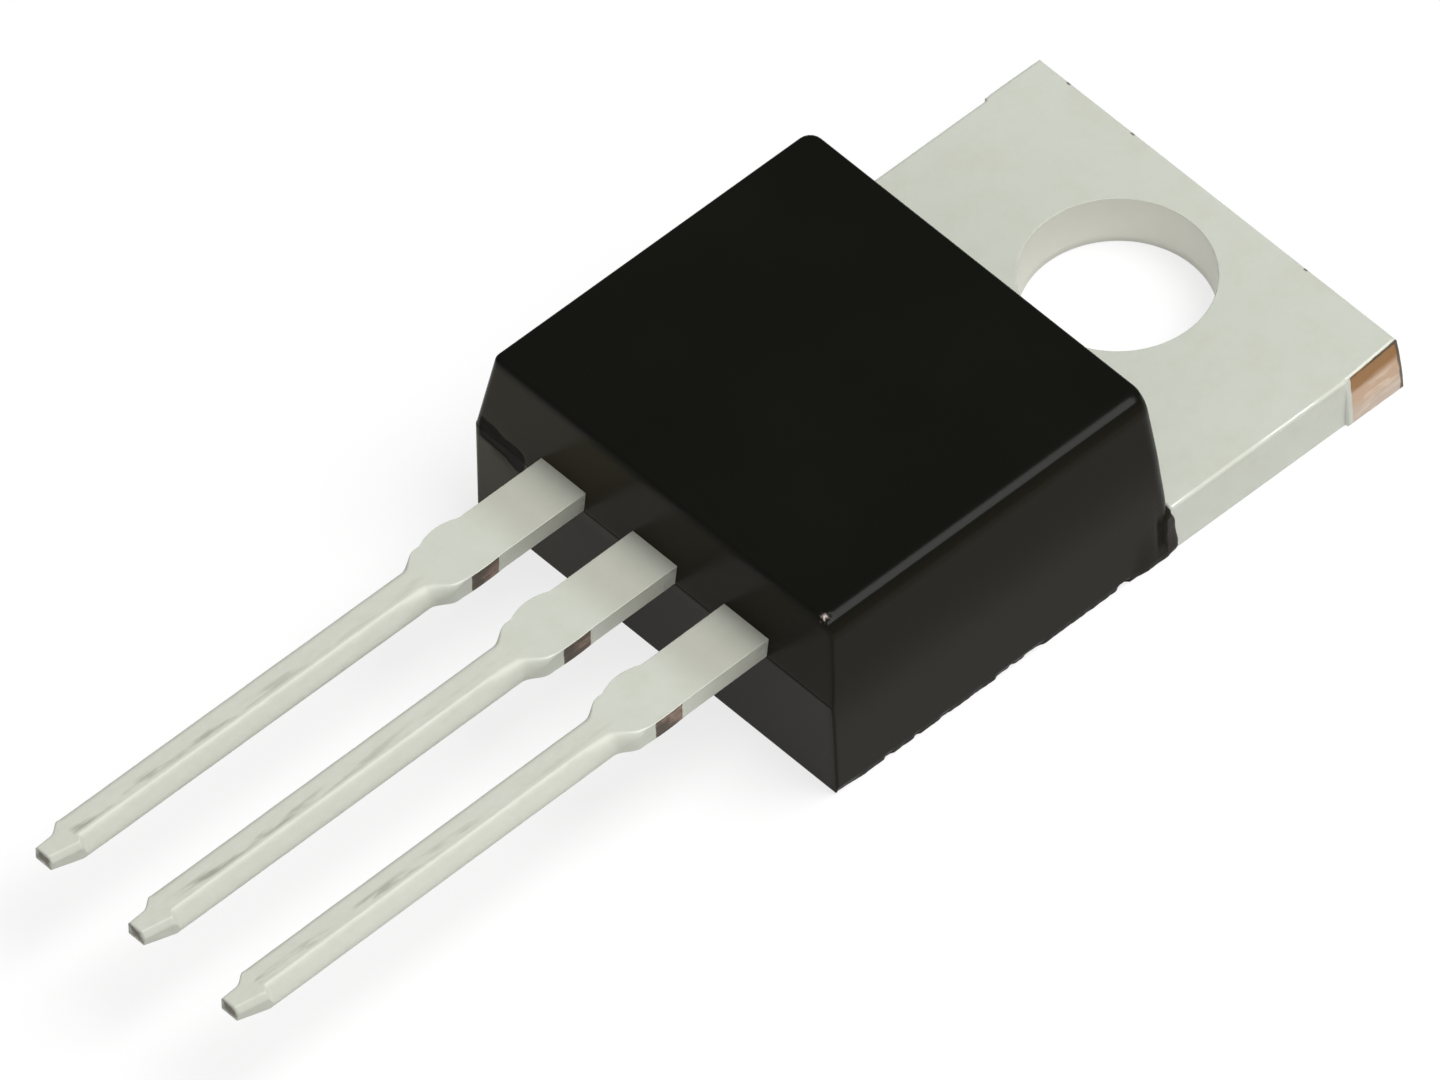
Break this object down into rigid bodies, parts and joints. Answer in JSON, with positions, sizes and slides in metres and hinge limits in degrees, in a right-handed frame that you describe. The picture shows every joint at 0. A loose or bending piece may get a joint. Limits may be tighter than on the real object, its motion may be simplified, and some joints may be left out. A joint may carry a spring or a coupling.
{
  "type": "schottky diode",
  "caption": "Dual schottky rectifier in a moulded power package with a bolt-down metal tab and a row of through-hole leads.",
  "frame": {"origin": "axis of the tab's mounting hole, on the metal back face", "axes": "+X to the right, +Y from the leads towards the tab's far edge, +Z along the mounting hole out of the moulded front face"},
  "size_m": [0.0102, 0.0284, 0.0045],
  "materials": {
    "mould_epoxy": "glossy black moulded epoxy",
    "tinned_copper": "satin tin plating on copper, bare copper where sheared",
    "silicon": "metallised silicon",
    "die_solder": "dull solder",
    "bond_wire": "drawn aluminium wire"
  },
  "bodies": {
    "root": {"mould_body": "mould_epoxy", "cathode_frame": "tinned_copper", "anode_lead_left": "tinned_copper", "anode_lead_right": "tinned_copper", "die_left": "silicon", "die_right": "silicon", "die_solder_left": "die_solder", "die_solder_right": "die_solder", "bond_wire_left_inner": "bond_wire", "bond_wire_left_outer": "bond_wire", "bond_wire_right_inner": "bond_wire", "bond_wire_right_outer": "bond_wire"}
  },
  "joints": []
}
